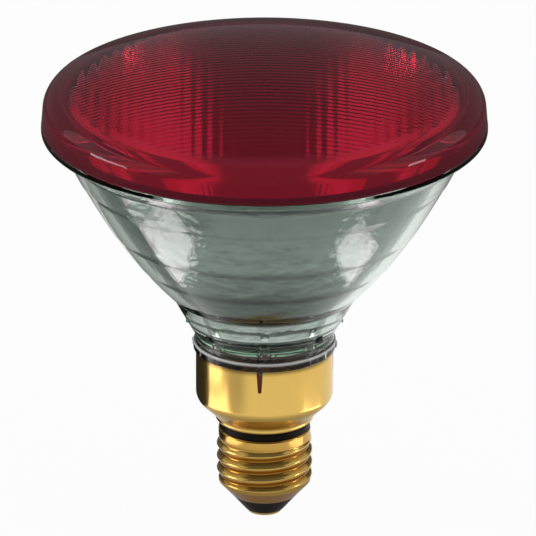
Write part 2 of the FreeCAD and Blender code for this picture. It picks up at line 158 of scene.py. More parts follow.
class StageSettings(PropertyGroup):
    """Camera and light."""

    elevation: FloatProperty(
        name="Elevation", description="Height of the camera above the horizon", default=math.radians(22.0),
        subtype="ANGLE",
    )
    distance: FloatProperty(
        name="Distance", description="Distance of the camera from what it aims at", default=2.499,
        subtype="DISTANCE",
    )
    aim: FloatVectorProperty(
        name="Aim", description="Point in the middle of the picture", default=(0.95 * MM, 0.0, 72.43 * MM),
        subtype="XYZ",
    )
    lens: FloatProperty(
        name="Lens", description="Focal length in millimetres on a 36 mm sensor", default=617.4, min=1.0
    )
    key: FloatProperty(name="Key", description="Power of each side softbox, in watts", default=1.75, min=0.0)
    panel: FloatProperty(
        name="Panels", description="Power of the floor panels, in watts per square metre", default=6.0,
        min=0.0,
    )
    overhead: FloatProperty(
        name="Overhead", description="Brightness of the studio above the bulb, as gloss and glass see it",
        default=0.16, min=0.0,
    )
    segments: IntProperty(name="Segments", description="Facets round the lens", default=512, min=32)


def settings():
    """The three groups of values that the operators read."""
    scene = bpy.context.scene
    return scene.heat_lamp_glass, scene.heat_lamp_colours, scene.heat_lamp_stage


def rounded(corners, steps=7):
    """Points of a (radius, height) outline: straight lines, and at each corner an arc of its own radius."""
    corners = np.asarray(corners, float)
    points = [corners[:1, :2]]
    for before, corner, after in zip(corners, corners[1:], corners[2:]):
        spot, radius = corner[:2], corner[2]
        if radius == 0:
            points.append(spot[None])
            continue
        towards = (before[:2] - spot) / np.linalg.norm(before[:2] - spot)
        away = (after[:2] - spot) / np.linalg.norm(after[:2] - spot)
        turn = math.acos(float(np.clip(towards @ away, -1, 1)))
        middle = (towards + away) / np.linalg.norm(towards + away)
        centre = spot + middle * radius / math.sin(turn / 2)
        start = spot + towards * radius / math.tan(turn / 2) - centre
        side = np.sign(away[0] * towards[1] - away[1] * towards[0])
        sweep = side * (math.pi - turn) * np.linspace(0, 1, steps + 1)
        across = start[0] * np.cos(sweep) - start[1] * np.sin(sweep)
        along = start[0] * np.sin(sweep) + start[1] * np.cos(sweep)
        points.append(centre + np.stack([across, along], 1))
    points.append(corners[-1:, :2])
    return np.concatenate(points)


def parabola(a, b, steps):
    """Points between two (radius, height) pairs of z = z1 + k (r squared - r1 squared)."""
    radii = np.linspace(a[0], b[0], steps + 1)
    bend = (b[1] - a[1]) / (b[0] ** 2 - a[0] ** 2)
    return np.stack([radii, a[1] + bend * (radii**2 - a[0] ** 2)], 1)


def moves_on(points):
    """For each point of an outline, whether it lies away from the one before it."""
    step = np.linalg.norm(np.diff(points, axis=0), axis=1)
    return np.concatenate([[True], step > SAME_PLACE])


def angles_round(count, dense=()):
    """Even angles round the axis, and more of them where dense says (middle, half width, number)."""
    sets = [np.linspace(0, FULL_TURN, count, endpoint=False)]
    for middle, half, number in dense:
        sets.append(middle + np.linspace(-half, half, number))
    return np.unique(np.round(np.concatenate(sets) % FULL_TURN, 6))


def turned_grid(outline, angles):
    """Grid of points (r cos a, r sin a, z) for every outline point (r, z) and every angle a."""
    radius, height = outline[:, :1], outline[:, 1:]
    across = radius * np.cos(angles)
    along = radius * np.sin(angles)
    return np.stack([across, along, np.broadcast_to(height, across.shape)], 2)


def mesh_from_grid(name, grid):
    """A mesh from a grid whose second direction goes round the axis.

    An outline that ends on the axis gets one vertex there and a fan. The faces' corners run so that an
    outline that goes up on the outside faces outwards.
    """
    columns = grid.shape[1]
    on_axis = np.linalg.norm(grid[:, :, :2], axis=2).max(axis=1) < SAME_PLACE
    body = np.flatnonzero(~on_axis)
    points = grid[body].reshape(-1, 3)
    number = np.arange(len(body) * columns).reshape(len(body), columns)
    right = np.roll(number, -1, axis=1)
    quads = np.stack([number[:-1], right[:-1], right[1:], number[1:]], 2)
    faces = quads.reshape(-1, 4).tolist()
    if on_axis[0]:
        points = np.concatenate([points, grid[0, :1]])
        pole = np.full(columns, len(points) - 1)
        faces += np.stack([pole, right[0], number[0]], 1).tolist()
    if on_axis[-1]:
        points = np.concatenate([points, grid[-1, :1]])
        pole = np.full(columns, len(points) - 1)
        faces += np.stack([pole, number[-1], right[-1]], 1).tolist()
    mesh = bpy.data.meshes.new(name)
    mesh.from_pydata(points.tolist(), [], faces)
    mesh.validate()
    return mesh


def add_piece(name, mesh, material, replaced=()):
    """Links a new piece, smooth apart from its sharp edges, and lets it ride on the bulb."""
    mesh.polygons.foreach_set("use_smooth", np.ones(len(mesh.polygons), bool))
    mesh.set_sharp_from_angle(angle=math.radians(32))
    piece = bpy.data.objects.new(name, mesh)
    bpy.context.scene.collection.objects.link(piece)
    weighted = piece.modifiers.new("weighted normals", "WEIGHTED_NORMAL")
    weighted.keep_sharp = True
    mesh.materials.append(material)
    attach(piece, "root")
    if replaced:
        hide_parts(*replaced)
    return piece


def fuse_seam(piece, height, inner, outer):
    """Gives the faces where lens and bowl are fused together a glass that doesn't bend light."""
    mesh = piece.data
    centres = np.empty(3 * len(mesh.polygons))
    mesh.polygons.foreach_get("center", centres)
    centres = centres.reshape(-1, 3)
    radius = np.hypot(centres[:, 0], centres[:, 1])
    level = np.abs(centres[:, 2] - height) < 10 * SAME_PLACE
    chosen = level & (radius > inner) & (radius < outer)
    seam = mesh.materials[0].copy()
    seam.name = mesh.materials[0].name + " at the seam"
    seam.node_tree.nodes["Principled BSDF"].inputs["IOR"].default_value = 1.0
    mesh.materials.append(seam)
    mesh.polygons.foreach_set("material_index", chosen.astype(np.int32))


def new_material(name):
    """A node material with its nodes, its links, its principled shader and its output."""
    material = bpy.data.materials.new(name)
    material.use_nodes = True
    nodes, links = material.node_tree.nodes, material.node_tree.links
    return material, nodes, links, nodes["Principled BSDF"], nodes["Material Output"]


def object_place(nodes):
    """The place in object coordinates, in metres, which on each piece are those of the frame."""
    return nodes.new("ShaderNodeTexCoord").outputs["Object"]


def combined(nodes, links, operation, first, second=0.0):
    """What an arithmetic node makes of two values, each of which is a socket or a number."""
    node = nodes.new("ShaderNodeMath")
    node.operation = operation
    for value, socket in zip((first, second), node.inputs):
        if isinstance(value, bpy.types.NodeSocket):
            links.new(value, socket)
        else:
            socket.default_value = value
    return node.outputs[0]


def multiplied(nodes, links, first, second):
    """The product of two values."""
    return combined(nodes, links, "MULTIPLY", first, second)


def greater(nodes, links, first, second):
    """The greater of two values."""
    return combined(nodes, links, "MAXIMUM", first, second)


def object_height(nodes, links):
    """The height above the contact tip, in metres."""
    parts = nodes.new("ShaderNodeSeparateXYZ")
    links.new(object_place(nodes), parts.inputs["Vector"])
    return parts.outputs["Z"]


def tinted(nodes, links, share, other):
    """Keeps a share of the shader's base colour, and gives the rest another colour."""
    shader = nodes["Principled BSDF"]
    base = shader.inputs["Base Color"]
    mix = nodes.new("ShaderNodeMix")
    mix.data_type = "RGBA"
    mix.inputs[6].default_value = (*other, 1.0)
    if base.is_linked:
        links.new(base.links[0].from_socket, mix.inputs[7])
    else:
        mix.inputs[7].default_value = base.default_value
    links.new(share, mix.inputs["Factor"])
    links.new(mix.outputs[2], base)


def object_radius(nodes, links):
    """The distance from the bulb's axis, in metres."""
    flat = nodes.new("ShaderNodeVectorMath")
    flat.operation = "MULTIPLY"
    flat.inputs[1].default_value = (1.0, 1.0, 0.0)
    links.new(object_place(nodes), flat.inputs[0])
    length = nodes.new("ShaderNodeVectorMath")
    length.operation = "LENGTH"
    links.new(flat.outputs["Vector"], length.inputs[0])
    return length.outputs["Value"]


def away_from(nodes, links, place):
    """The distance from a place in object coordinates, in metres."""
    distance = nodes.new("ShaderNodeVectorMath")
    distance.operation = "DISTANCE"
    distance.inputs[1].default_value = place
    links.new(object_place(nodes), distance.inputs[0])
    return distance.outputs["Value"]


def stepped(nodes, links, value, start, end, low=0.0, high=1.0):
    """A smooth step of a value from low at start to high at end."""
    step = nodes.new("ShaderNodeMapRange")
    step.interpolation_type = "SMOOTHSTEP"
    step.inputs["From Min"].default_value = start
    step.inputs["From Max"].default_value = end
    step.inputs["To Min"].default_value = low
    step.inputs["To Max"].default_value = high
    links.new(value, step.inputs["Value"])
    return step.outputs["Result"]


def near_height(nodes, links, height, middle, half_width, low, high):
    """A value that is high at a height and falls smoothly to low on both sides."""
    apart = combined(nodes, links, "ABSOLUTE", combined(nodes, links, "SUBTRACT", height, middle))
    return stepped(nodes, links, apart, 0.0, half_width, high, low)


def object_noise(nodes, links, scale, detail=3.0, stretch=(1.0, 1.0, 1.0)):
    """Noise on object coordinates, stretched along an axis."""
    mapping = nodes.new("ShaderNodeMapping")
    mapping.inputs["Scale"].default_value = stretch
    noise = nodes.new("ShaderNodeTexNoise")
    noise.inputs["Scale"].default_value = scale
    noise.inputs["Detail"].default_value = detail
    links.new(object_place(nodes), mapping.inputs["Vector"])
    links.new(mapping.outputs["Vector"], noise.inputs["Vector"])
    return noise.outputs["Fac"]


def ranged(nodes, links, value, low, high):
    """A value from 0 to 1 moved to a range."""
    ranges = nodes.new("ShaderNodeMapRange")
    ranges.inputs["To Min"].default_value = low
    ranges.inputs["To Max"].default_value = high
    links.new(value, ranges.inputs["Value"])
    return ranges.outputs["Result"]


def mixed_colour(nodes, links, share, first, second):
    """A colour between two, by a share."""
    mix = nodes.new("ShaderNodeMix")
    mix.data_type = "RGBA"
    mix.inputs[6].default_value = (*first, 1.0)
    mix.inputs[7].default_value = (*second, 1.0)
    links.new(share, mix.inputs["Factor"])
    return mix.outputs[2]


def bumped(nodes, links, shader, height, depth):
    """Small relief of a depth in metres on a shader."""
    bump = nodes.new("ShaderNodeBump")
    bump.inputs["Strength"].default_value = 1.0
    bump.inputs["Distance"].default_value = depth
    links.new(height, bump.inputs["Height"])
    links.new(bump.outputs["Normal"], shader.inputs["Normal"])


def pressed_glass(name, tint, density, refraction, roughness, skin=(1.0, 1.0, 1.0)):
    """Pressed glass: a slightly wavy skin that may have a colour, and a body that absorbs light."""
    material, nodes, links, shader, output = new_material(name)
    shader.inputs["Base Color"].default_value = (*skin, 1.0)
    shader.inputs["Transmission Weight"].default_value = 1.0
    shader.inputs["IOR"].default_value = refraction
    shader.inputs["Specular Tint"].default_value = (0.35, 0.35, 0.35, 1.0)
    wave = object_noise(nodes, links, 60.0, 2.0)
    links.new(ranged(nodes, links, wave, roughness * 0.5, roughness * 1.5), shader.inputs["Roughness"])
    bumped(nodes, links, shader, wave, 0.02 * MM)
    body = nodes.new("ShaderNodeVolumeAbsorption")
    body.inputs["Color"].default_value = (*tint, 1.0)
    body.inputs["Density"].default_value = density
    links.new(body.outputs["Volume"], output.inputs["Volume"])
    return material


def metal(name, colour, dark, roughness, grain, stretch, relief):
    """Bare metal: two tones in patches, and fine relief along the way it was worked."""
    material, nodes, links, shader, _ = new_material(name)
    shader.inputs["Metallic"].default_value = 1.0
    patches = object_noise(nodes, links, 90.0, 4.0)
    links.new(mixed_colour(nodes, links, patches, dark, colour), shader.inputs["Base Color"])
    lines = object_noise(nodes, links, grain, 3.0, stretch)
    links.new(ranged(nodes, links, lines, roughness * 0.7, roughness * 1.3), shader.inputs["Roughness"])
    bumped(nodes, links, shader, lines, relief)
    return material


def plain_skin(name, colour, dark, roughness, grain, relief):
    """An opaque skin such as black glass or glass fibre."""
    material, nodes, links, shader, _ = new_material(name)
    patches = object_noise(nodes, links, grain, 4.0)
    links.new(mixed_colour(nodes, links, patches, dark, colour), shader.inputs["Base Color"])
    links.new(ranged(nodes, links, patches, roughness * 0.7, roughness * 1.3), shader.inputs["Roughness"])
    bumped(nodes, links, shader, patches, relief)
    return material


def dress_node(name, material):
    """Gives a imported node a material, and smooth shading that keeps its edges, with its mesh left alone."""
    node = frame["nodes"][name]
    node.data.polygons.foreach_set("use_smooth", np.ones(len(node.data.polygons), bool))
    node.data.materials.clear()
    node.data.materials.append(material)
    weld = node.modifiers.new("weld", "WELD")
    weld.merge_threshold = 0.0005 * MM
    split = node.modifiers.new("split edges", "EDGE_SPLIT")
    split.split_angle = math.radians(30)


def lens_outline(glass):
    """The lens's half section, from the inner pole to the outer one, and each point's share of stipple."""
    low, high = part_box("lens")
    seam_z, top_z, rim = low.z, high.z, high.x
    draft, edge_round, inner_round = 0.7 * MM, 5.2 * MM, 2.0 * MM
    shoulder_z = seam_z + glass.lens_edge_height
    rise = top_z - shoulder_z
    top_radius = rim - draft
    shoulder = top_radius - edge_round
    dome = (shoulder**2 + rise**2) / (2 * rise)
    inner_dome = dome - glass.lens_wall
    centre_z = top_z - dome
    inner_lip = rim - LIP_WIDTH
    inner_shoulder = inner_lip - inner_round

    def on_dome(radius, across):
        return centre_z + np.sqrt(radius**2 - across**2)

    def drop(radius, across, width):
        return width * across / math.sqrt(radius**2 - across**2)

    across = np.linspace(0, inner_shoulder, 106)
    inner = np.stack([across, on_dome(inner_dome, across)], 1)
    inner_z = float(on_dome(inner_dome, inner_shoulder))
    edge = rounded(
        [
            (inner_shoulder, inner_z, 0),
            (inner_lip, inner_z - drop(inner_dome, inner_shoulder, inner_round), inner_round),
            (inner_lip, seam_z, 0),
            (rim, seam_z, SEAM_ROUND),
            (top_radius, shoulder_z - drop(dome, shoulder, edge_round), edge_round),
            (shoulder, shoulder_z, 0),
        ],
        10,
    )
    across = np.linspace(shoulder, 0, 30)
    outer = np.stack([across, on_dome(dome, across)], 1)
    points = np.concatenate([inner, edge, outer])
    margin = 3.0 * MM
    share = np.clip((inner_shoulder - inner[:, 0]) / margin, 0, 1)
    share = np.concatenate([share, np.zeros(len(edge) + len(outer))])
    keep = moves_on(points)
    return points[keep], share[keep]


def paint_rim_light(material, rim):
    """Makes the rim of the lens partly diffuse and a deeper red: painted light in place of the red light
    through its thick edge.
    """
    nodes, links = material.node_tree.nodes, material.node_tree.links
    radius = object_radius(nodes, links)
    # Painted light: the rim turns partly diffuse and a deeper red
    start, end = rim - 9 * MM, rim - 4 * MM
    clear = stepped(nodes, links, radius, start, end, 1.0, 0.88)
    links.new(clear, nodes["Principled BSDF"].inputs["Transmission Weight"])
    tinted(nodes, links, stepped(nodes, links, radius, start, end, 1.0, 0.0), (0.85, 0.09, 0.16))


def build_lens(glass, colours, stage):
    """The lens, turned from its half section, with a stipple of studs on its inside.

    A stud's height follows the product of two cosines, along two directions that cross at 60 degrees.
    """
    outline, share = lens_outline(glass)
    grid = turned_grid(outline, angles_round(stage.segments))
    wave = FULL_TURN / glass.stipple_pitch
    across, along = grid[:, :, 0] * 0.5, grid[:, :, 1] * 0.866
    first = np.cos(wave * (across + along))
    second = np.cos(wave * (across - along))
    grid[:, :, 2] -= share[:, None] * glass.stipple_depth * 0.5 * (1 + first * second)
    mesh = mesh_from_grid("ruby_lens", grid)
    material = pressed_glass("ruby glass", (0.9, 0.0, 0.2), colours.ruby_density, 1.5, 0.01, colours.ruby)
    low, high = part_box("lens")
    paint_rim_light(material, high.x)
    lens = add_piece("ruby_lens", mesh, material, ["lens"])
    fuse_seam(lens, low.z, high.x - LIP_WIDTH, high.x - SEAM_ROUND)


def bowl_sizes():
    """The bowl's radii and heights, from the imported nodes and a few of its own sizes."""
    size = {}
    low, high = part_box("reflector_bowl")
    skirt_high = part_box("skirt")[1]
    size["heel_z"], size["seam_z"] = low.z, high.z
    size["flange_z"] = skirt_high.z
    size["rim"] = high.x
    size["heel"] = skirt_high.x - 0.65 * MM
    size["heel_inner"] = size["heel"] - 3.4 * MM
    size["flange"] = skirt_high.x + 0.7 * MM
    size["waist"] = size["flange"] - 0.4 * MM
    size["shoulder"] = size["waist"] + 1.1 * MM
    size["lug_face"] = size["shoulder"] + 1.3 * MM
    size["neck_top"] = size["shoulder"] + 5.3 * MM
    size["well_floor"] = size["shoulder"] - 3.7 * MM
    size["well_top"] = size["neck_top"] - 3.7 * MM
    size["waist_z"] = size["flange_z"] + 2.4 * MM
    size["shoulder_z"] = size["waist_z"] + 3.3 * MM
    size["floor_z"] = size["shoulder_z"] + 1.1 * MM
    size["floor_under_z"] = size["floor_z"] - 3.8 * MM
    size["bowl_z"] = size["shoulder_z"] + 10.7 * MM
    size["flare_z"] = size["bowl_z"] + 43.0 * MM
    size["band_z"] = size["flare_z"] + 4.1 * MM
    size["bowl"] = 54.5 * MM
    size["mouth"] = 53.3 * MM
    return size


def outer_bands(size):
    """The bowl's outside: bands of one paraboloid with a small ledge between two bands."""
    ledge = 0.225 * MM
    bend = (size["bowl"] ** 2 - size["neck_top"] ** 2) / (size["flare_z"] - size["bowl_z"])
    runs = []
    start = (size["neck_top"], size["bowl_z"])
    for height in (10.7 * MM, 20.4 * MM, 35.0 * MM):
        radius = math.sqrt(size["neck_top"] ** 2 + bend * height)
        below = (radius - ledge, size["bowl_z"] + height - ledge)
        runs.append(parabola(start, below, 12))
        start = (radius + ledge, size["bowl_z"] + height + ledge)
    runs.append(parabola(start, (size["bowl"], size["flare_z"]), 12))
    return np.concatenate(runs)


def filled(points, longest):
    """The same outline with more points on runs that are longer than a length."""
    rows = []
    for a, b in zip(points, points[1:]):
        count = max(1, math.ceil(np.linalg.norm(b - a) / longest))
        rows.append(a + (b - a) * np.linspace(0, 1, count, endpoint=False)[:, None])
    rows.append(points[-1:])
    return np.concatenate(rows)


def bowl_outline(size):
    """The bowl's half section, from the pole under its floor, out and up, and back down its inside."""
    low = rounded(
        [
            (0, size["floor_under_z"], 0),
            (size["heel_inner"], size["floor_under_z"], 1.0 * MM),
            (size["heel_inner"], size["heel_z"], 0),
            (size["heel"], size["heel_z"], 0.8 * MM),
            (size["heel"], size["flange_z"], 0),
            (size["flange"], size["flange_z"], 0.5 * MM),
            (size["flange"], size["waist_z"], 0.8 * MM),
            (size["waist"], size["waist_z"] + 0.4 * MM, 0.4 * MM),
            (size["waist"], size["shoulder_z"], 0.4 * MM),
            (size["shoulder"], size["floor_z"], 0.4 * MM),
            (size["neck_top"], size["bowl_z"], 0),
        ],
        5,
    )
    neck_rows = (low[:, 1] > size["flange_z"] + 0.4 * MM) & (low[:, 0] > size["waist"] - 1 * MM)
    start = int(np.argmax(neck_rows))
    low = np.concatenate([low[:start], filled(low[start:], 0.3 * MM)])
    rim = rounded(
        [
            (size["bowl"], size["flare_z"], 0),
            (size["rim"], size["band_z"], 0.65 * MM),
            (size["rim"], size["seam_z"], 0),
            (size["rim"] - SEAM_ROUND, size["seam_z"], 0),
            (size["rim"] - LIP_WIDTH, size["seam_z"], 0),
            (size["mouth"], size["seam_z"], 0),
        ],
        6,
    )
    mirror = parabola((size["mouth"], size["seam_z"]), (size["well_top"], size["bowl_z"]), 36)
    well = rounded(
        [
            (size["well_top"], size["bowl_z"], 0),
            (size["well_floor"], size["floor_z"], 2.0 * MM),
            (0, size["floor_z"], 0),
        ],
        6,
    )
    outline = np.concatenate([low, outer_bands(size), rim, mirror, well])
    return outline[moves_on(outline)]


def raise_lugs(grid, size):
    """Raises round lugs on the neck: near a lug's centre the radius grows to the lug's face."""
    radius = np.linalg.norm(grid[:, :, :2], axis=2)
    angle = np.arctan2(grid[:, :, 1], grid[:, :, 0])
    lug_z = size["floor_z"] + 1.2 * MM
    apart = FULL_TURN / LUGS
    across = ((angle + math.pi / 2 + apart / 2) % apart - apart / 2) * radius
    distance = np.hypot(across, grid[:, :, 2] - lug_z)
    share = np.clip((LUG_RADIUS - distance) / LUG_EDGE, 0, 1)
    share = share**2 * (3 - 2 * share)
    outside = radius > size["waist"] - 0.1 * MM
    growth = np.where(outside, share * np.maximum(size["lug_face"] - radius, 0), 0)
    factor = 1 + growth / np.maximum(radius, 1e-6)
    grid[:, :, :2] *= factor[:, :, None]


def paint_shade_rows(material, rows):
    """Paints shade on a material near some heights: (height, half width, what it keeps)."""
    nodes, links = material.node_tree.nodes, material.node_tree.links
    height = object_height(nodes, links)
    kept = None
    for middle, half_width, share in rows:
        row = near_height(nodes, links, height, middle, half_width, 1.0, share)
        kept = row if kept is None else multiplied(nodes, links, kept, row)
    tinted(nodes, links, kept, (0.0, 0.0, 0.0))


def paint_lug_shade(material, size):
    """Paints shade on the faces of the lugs, which stand out from the neck below a height."""
    nodes, links = material.node_tree.nodes, material.node_tree.links
    face = size["lug_face"]
    out = stepped(nodes, links, object_radius(nodes, links), face - LUG_EDGE, face - 0.1 * MM)
    top = size["floor_z"] + 3.0 * MM
    under = stepped(nodes, links, object_height(nodes, links), top, top + 0.2 * MM, 1.0, 0.0)
    lug = multiplied(nodes, links, out, under)
    # Painted shade: the lug faces turn nearly black
    tinted(nodes, links, combined(nodes, links, "SUBTRACT", 1.0, lug), (0.04, 0.05, 0.04))


def paint_flange_highlight(material, size):
    """Makes the edge of the neck's flange partly white, as a painted highlight."""
    nodes, links = material.node_tree.nodes, material.node_tree.links
    height = object_height(nodes, links)
    # Painted highlight: a pale band round the flange's edge
    pale_band = near_height(nodes, links, height, size["flange_z"] + 2.3 * MM, 0.8 * MM, 0.0, 0.6)
    edge = stepped(nodes, links, object_radius(nodes, links), size["waist"], size["flange"] - 0.05 * MM)
    clear = combined(nodes, links, "SUBTRACT", 1.0, multiplied(nodes, links, pale_band, edge))
    links.new(clear, nodes["Principled BSDF"].inputs["Transmission Weight"])


def raise_ribs(grid, size):
    """Raises narrow upright ribs on the flange: there the radius grows by the rib's reach."""
    radius = np.linalg.norm(grid[:, :, :2], axis=2)
    angle = np.arctan2(grid[:, :, 1], grid[:, :, 0])
    reach, middle, slope = 0.35 * MM, 1.15 * MM, 0.3 * MM
    apart = FULL_TURN / RIBS
    across = ((angle - RIB_ANGLE + apart / 2) % apart - apart / 2) * radius
    beside = np.clip((0.5 * MM - np.abs(across)) / (0.1 * MM), 0, 1)
    lift = grid[:, :, 2] - size["flange_z"]
    within = np.clip((1.0 * MM - np.abs(lift - middle)) / slope, 0, 1)
    outside = np.abs(radius - size["flange"]) < 0.05 * MM
    factor = 1 + np.where(outside, beside * within * reach, 0) / np.maximum(radius, 1e-6)
    grid[:, :, :2] *= factor[:, :, None]


def with_cylinders(mesh, rows, operation):
    """The mesh with upright cylinders added or cut away; a row is (x, radius, low, high)."""
    group = bpy.data.collections.new("tools")
    scene = bpy.context.scene.collection
    scene.children.link(group)
    for x, radius, low, high in rows:
        outline = np.array([(0, low), (radius, low), (radius, high), (0, high)])
        tool = mesh_from_grid("tool", turned_grid(outline, angles_round(48)))
        tool.transform(Matrix.Translation((x, 0, 0)))
        group.objects.link(bpy.data.objects.new("tool", tool))
    blank = bpy.data.objects.new("blank", mesh)
    scene.objects.link(blank)
    boolean = blank.modifiers.new("boolean", "BOOLEAN")
    boolean.operation = operation
    boolean.solver = "MANIFOLD"
    boolean.operand_type = "COLLECTION"
    boolean.collection = group
    graph = bpy.context.evaluated_depsgraph_get()
    result = bpy.data.meshes.new_from_object(blank.evaluated_get(graph))
    result.name = mesh.name
    result.materials.clear()
    for tool in list(group.objects):
        bpy.data.objects.remove(tool)
    bpy.data.objects.remove(blank)
    bpy.data.collections.remove(group)
    return result


def build_bowl(colours):
    """The pressed glass bowl, turned from its half section, with its lugs, ribs, bosses and holes."""
    size = bowl_sizes()
    lug_reach = 1.7 * MM
    half = math.atan2(lug_reach, size["shoulder"])
    dense = [(k * FULL_TURN / LUGS, half, 19) for k in range(LUGS)]
    dense += [(RIB_ANGLE + k * FULL_TURN / RIBS, 0.03, 13) for k in range(RIBS)]
    grid = turned_grid(bowl_outline(size), angles_round(216, dense))
    raise_lugs(grid, size)
    raise_ribs(grid, size)
    mesh = mesh_from_grid("glass_bowl", grid)
    under, floor = size["floor_under_z"], size["floor_z"]
    boss_radius, boss_height, lead_hole, exhaust_hole = 4.3 * MM, 3 * MM, 1.4 * MM, 1.5 * MM
    low = under - boss_height
    posts = (-8.5 * MM, 8.5 * MM)
    mesh = with_cylinders(mesh, [(x, boss_radius, low, under + 0.5 * MM) for x in posts], "UNION")
    start, end = low - 1 * MM, floor + 1 * MM
    holes = [(x, lead_hole, start, end) for x in posts] + [(0.0, exhaust_hole, start, end)]
    mesh = with_cylinders(mesh, holes, "DIFFERENCE")
    material = pressed_glass("clear pressed glass", colours.clear, colours.clear_density, 1.47, 0.01)
    paint_lug_shade(material, size)
    paint_flange_highlight(material, size)
    bowl = add_piece("glass_bowl", mesh, material, ["reflector_bowl"])
    fuse_seam(bowl, size["seam_z"], size["rim"] - LIP_WIDTH, size["rim"] - SEAM_ROUND)


def film_material(colours, bowl_z):
    """The film seen through the glass, with painted shade: a darker copy of the bright film, greyer high up
    and low down and dark at the ledges, and with painted light that makes it pale in the neck.
    """
    darker = [0.85 * value for value in colours.film_back_painted_shade]
    painted_shade_film = metal("mirror film back with painted shade", colours.film_back_painted_shade, darker, 0.12, 170.0, (1, 1, 1), 0.75 * MM)
    nodes, links = painted_shade_film.node_tree.nodes, painted_shade_film.node_tree.links
    nodes["Principled BSDF"].inputs["Specular Tint"].default_value = (0.4, 0.45, 0.42, 1.0)
    height = object_height(nodes, links)
    # Painted shade: the film turns greyer high up and low down
    low = stepped(nodes, links, height, bowl_z + 3 * MM, bowl_z + 22 * MM, 0.86, 1.0)
    high = stepped(nodes, links, height, bowl_z + 17 * MM, bowl_z + 42 * MM, 1.0, 0.66)
    tinted(nodes, links, multiplied(nodes, links, low, high), (0.0, 0.0, 0.0))
    # Painted light: the film turns pale in the neck
    above_neck = stepped(nodes, links, height, bowl_z - 1.2 * MM, bowl_z - 0.4 * MM)
    tinted(nodes, links, above_neck, (0.93, 1.0, 0.95))
    # Painted shade: dark rows on the film at the bowl's ledges and at the top of the neck
    ledges = (
        (34.7 * MM, 1.2 * MM, 0.8),
        (20.3 * MM, 1.9 * MM, 0.4),
        (10.5 * MM, 2.0 * MM, 0.22),
        (0.7 * MM, 2.2 * MM, 0.03),
    )
    paint_shade_rows(painted_shade_film, [(bowl_z + lift, half, kept) for lift, half, kept in ledges])
    return painted_shade_film


def build_film(glass, colours):
    """The mirror film on the bowl's inside: a bright face to the lens and, to the glass, a copy darkened with
    painted shade.
    """
    size = bowl_sizes()
    gap = glass.film_gap
    mouth = (size["mouth"] - gap, size["seam_z"] - gap)
    mirror = parabola(mouth, (size["well_top"] - gap, size["bowl_z"]), 60)
    well = rounded(
        [
            (size["well_top"] - gap, size["bowl_z"], 0),
            (size["well_floor"] - gap, size["floor_z"] + gap, 2.0 * MM),
            (size["well_floor"] - 2.5 * MM, size["floor_z"] + gap, 0),
        ],
        6,
    )
    outline = np.concatenate([mirror, well])
    outline = outline[moves_on(outline)]
    angles = angles_round(256)
    back = mesh_from_grid("mirror_film_back", turned_grid(outline[::-1], angles))
    front_outline = outline - np.array([gap, -gap])
    front = mesh_from_grid("mirror_film", turned_grid(front_outline, angles))
    bright = metal("mirror film", (0.92, 0.92, 0.92), (0.86, 0.87, 0.88), 0.05, 200.0, (1, 1, 1), 0.001 * MM)
    add_piece("mirror_film_back", back, film_material(colours, size["bowl_z"]))
    add_piece("mirror_film", front, bright)


def paint_shade_in_grooves(material, colours):
    """Paints shade on the brass towards the bottom of the thread's grooves, by the distance from the axis."""
    nodes, links = material.node_tree.nodes, material.node_tree.links
    out = stepped(nodes, links, object_radius(nodes, links), 12.15 * MM, 13.05 * MM)
    tinted(nodes, links, out, colours.painted_groove_shade)


def brass_sheet(name, colours):
    """Bright drawn brass, with fine lines along the way it was drawn."""
    return metal(name, colours.brass, (0.72, 0.47, 0.13), 0.16, 900.0, (1, 1, 0.15), 0.004 * MM)


def dress_cap(colours):
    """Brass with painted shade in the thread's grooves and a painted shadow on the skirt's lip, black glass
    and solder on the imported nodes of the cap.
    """
    dress_node("contact_plate", brass_sheet("drawn brass", colours))
    threaded = brass_sheet("rolled brass", colours)
    paint_shade_in_grooves(threaded, colours)
    dress_node("screw_shell", threaded)
    brass_with_painted_lip_shadow = brass_sheet("skirt brass with painted shadow", colours)
    # Painted shadow on the skirt's top lip, under the neck's flange
    paint_shade_rows(brass_with_painted_lip_shadow, [(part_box("skirt")[1].z, 1.7 * MM, 0.3)])
    dress_node("skirt", brass_with_painted_lip_shadow)
    black = plain_skin("black glass", (0.012, 0.009, 0.006), (0.004, 0.003, 0.002), 0.3, 70.0, 0.02 * MM)
    black.node_tree.nodes["Principled BSDF"].inputs["Specular IOR Level"].default_value = 0.05
    solder = metal("solder", (0.48, 0.47, 0.44), (0.25, 0.24, 0.22), 0.38, 500.0, (1, 1, 1), 0.05 * MM)
    for name in ("skirt_insulator", "base_insulator"):
        dress_node(name, black)
    for name in ("centre_solder", "side_solder"):
        dress_node(name, solder)


def dress_inside():
    """Nickel, tungsten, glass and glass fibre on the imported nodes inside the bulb."""
    nickel = metal("nickel iron", (0.62, 0.6, 0.56), (0.45, 0.43, 0.4), 0.3, 600.0, (1, 1, 0.2), 0.01 * MM)
    tungsten = metal("tungsten", (0.2, 0.2, 0.21), (0.12, 0.12, 0.13), 0.42, 900.0, (1, 1, 1), 0.01 * MM)
    fibre = plain_skin("glass fibre", (0.82, 0.8, 0.74), (0.6, 0.58, 0.52), 0.75, 1400.0, 0.05 * MM)
    clear = pressed_glass("clear inner glass", (0.9, 0.97, 0.93), 20.0, 1.47, 0.02)
    for side in ("left", "right"):
        dress_node("ferrule_" + side, nickel)
        dress_node("lead_post_" + side, nickel)
    for name in ("centre_wire", "side_wire"):
        dress_node(name, nickel)
    for name in ("filament", "coil_support"):
        dress_node(name, tungsten)
    for name in ("post_bridge", "exhaust_tube"):
        dress_node(name, clear)
    dress_node("wire_sleeve", fibre)


